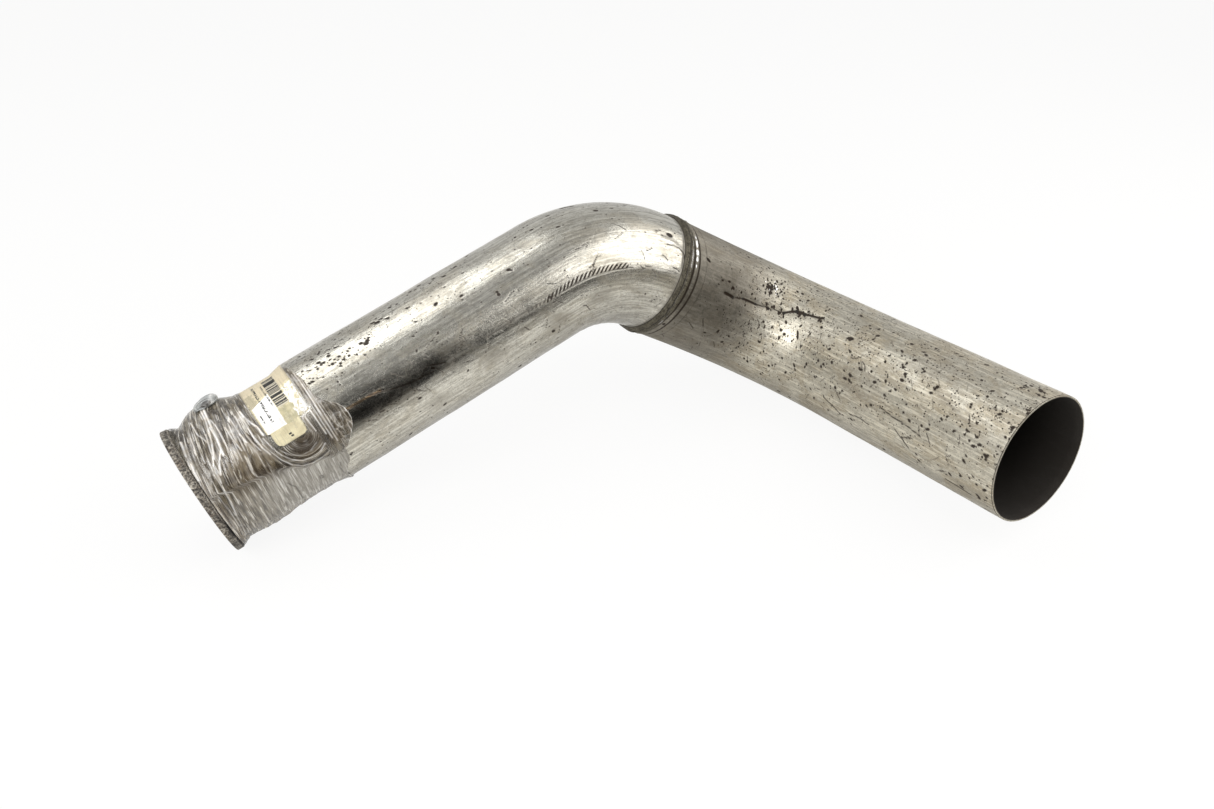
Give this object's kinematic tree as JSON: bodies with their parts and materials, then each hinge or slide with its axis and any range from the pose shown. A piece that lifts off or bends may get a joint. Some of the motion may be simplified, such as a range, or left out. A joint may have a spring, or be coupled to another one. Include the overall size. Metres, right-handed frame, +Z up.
{
  "type": "turbo downpipe",
  "caption": "Bent exhaust downpipe of lap-welded steel tube, with a V-band flange at the turbo end and stretch film wound over its neck.",
  "frame": {"origin": "centre of the flange's sealing face, in the plane of that face", "axes": "+Z is up as the pipe lies at rest on the flange's rim and the outside of its second bend; +X runs below the inlet leg, away from the flange; the open end looks along -Y"},
  "size_m": [0.6058, 0.3894, 0.1973],
  "materials": {
    "flange_steel": "corroded and pitted steel ring",
    "weld_metal": "rippled weld metal with a brown heat stain",
    "tube_steel": "dull aluminised steel, pitted, stained and scratched",
    "label_paper": "cream paper label with plain printed bars",
    "clear_film": "clear wrinkled stretch film in many turns"
  },
  "bodies": {
    "root": {"turbo_flange": "flange_steel", "flange_weld_bead": "weld_metal", "inlet_tube": "tube_steel", "outlet_tube": "tube_steel", "lap_weld_bead": "weld_metal", "paper_label": "label_paper", "stretch_film": "clear_film"}
  },
  "joints": []
}
